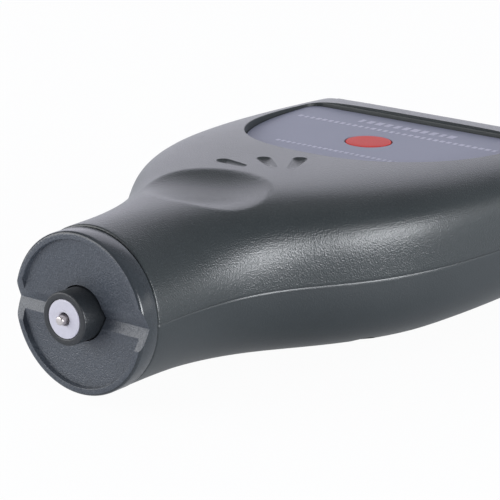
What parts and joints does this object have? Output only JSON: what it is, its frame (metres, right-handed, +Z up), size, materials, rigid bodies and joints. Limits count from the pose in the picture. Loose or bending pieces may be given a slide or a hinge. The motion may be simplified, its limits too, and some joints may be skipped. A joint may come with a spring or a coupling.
{
  "type": "coating thickness gauge",
  "caption": "Hand-held bottle-shaped coating thickness gauge with a sprung probe in its grooved round nose, a label field, a sloping display with keys and a battery door below.",
  "frame": {"origin": "middle of the whole length and width, at the flat face that the gauge lies on", "axes": "+X from the probe to the rear end, +Y across to the left as seen from behind the display, +Z up out of the label field"},
  "size_m": [0.127, 0.0676, 0.0299],
  "materials": {
    "cover": "fine moulded grain",
    "cap": "satin",
    "guide": "smooth",
    "sleeve": "satin black",
    "insert": "smooth white",
    "steel": "plain",
    "copper": "enamelled wire",
    "label": "printed film",
    "red_key": "satin red",
    "key": "soft",
    "window": "clear",
    "lcd": "display glass",
    "diffuser": "milky",
    "board": "solder mask",
    "ribbon": "film",
    "switch": "matt",
    "capacitor": "satin can",
    "cell": "film wrap"
  },
  "bodies": {
    "housing": {"front_cover": "cover", "rear_cover": "cover", "nose_cap": "cap", "spring_seat": "guide", "probe_spring": "steel", "label_plate": "label", "display_window": "window", "lcd_module": "lcd", "backlight_panel": "diffuser", "display_board": "board", "key_switches": "switch", "display_screws": "steel", "board_ribbon": "ribbon", "main_board": "board", "power_switch": "switch", "board_chips": "switch", "board_capacitors": "capacitor", "buzzer": "switch", "board_screws": "steel", "battery_cells": "cell", "battery_springs": "steel", "battery_plates": "steel", "housing_screws": "steel"},
    "probe": {"probe_sleeve": "sleeve", "probe_insert": "insert", "probe_tip": "steel", "probe_core": "steel", "probe_bobbin": "guide", "probe_winding": "copper"},
    "power_key": {"power_key": "red_key"},
    "zero_key": {"zero_key": "key"},
    "plus_key": {"plus_key": "key"},
    "minus_key": {"minus_key": "key"},
    "memory_key": {"memory_key": "key"},
    "battery_door": {"battery_door": "cover"}
  },
  "joints": [
    {"name": "probe_slide", "type": "slide", "parent": "housing", "child": "probe", "axis": [1, 0, 0], "range_m": [0, 0.0042], "stiffness_N_per_m": 200, "deforming": ["probe_spring"]},
    {"name": "power_press", "type": "slide", "parent": "housing", "child": "power_key", "axis": [0, 0, -1], "range_m": [0, 0.0004], "stiffness_N_per_m": 600},
    {"name": "zero_press", "type": "slide", "parent": "housing", "child": "zero_key", "axis": [-0.342, 0, -0.9397], "range_m": [0, 0.0004], "stiffness_N_per_m": 500},
    {"name": "plus_press", "type": "slide", "parent": "housing", "child": "plus_key", "axis": [-0.342, 0, -0.9397], "range_m": [0, 0.0004], "stiffness_N_per_m": 500},
    {"name": "minus_press", "type": "slide", "parent": "housing", "child": "minus_key", "axis": [-0.342, 0, -0.9397], "range_m": [0, 0.0004], "stiffness_N_per_m": 500},
    {"name": "memory_press", "type": "slide", "parent": "housing", "child": "memory_key", "axis": [-0.342, 0, -0.9397], "range_m": [0, 0.0004], "stiffness_N_per_m": 500},
    {"name": "door_hinge", "type": "hinge", "parent": "housing", "child": "battery_door", "pos_m": [0.0484, 0, 0.0015], "axis": [0, -1, 0], "range_deg": [0, 75]}
  ]
}
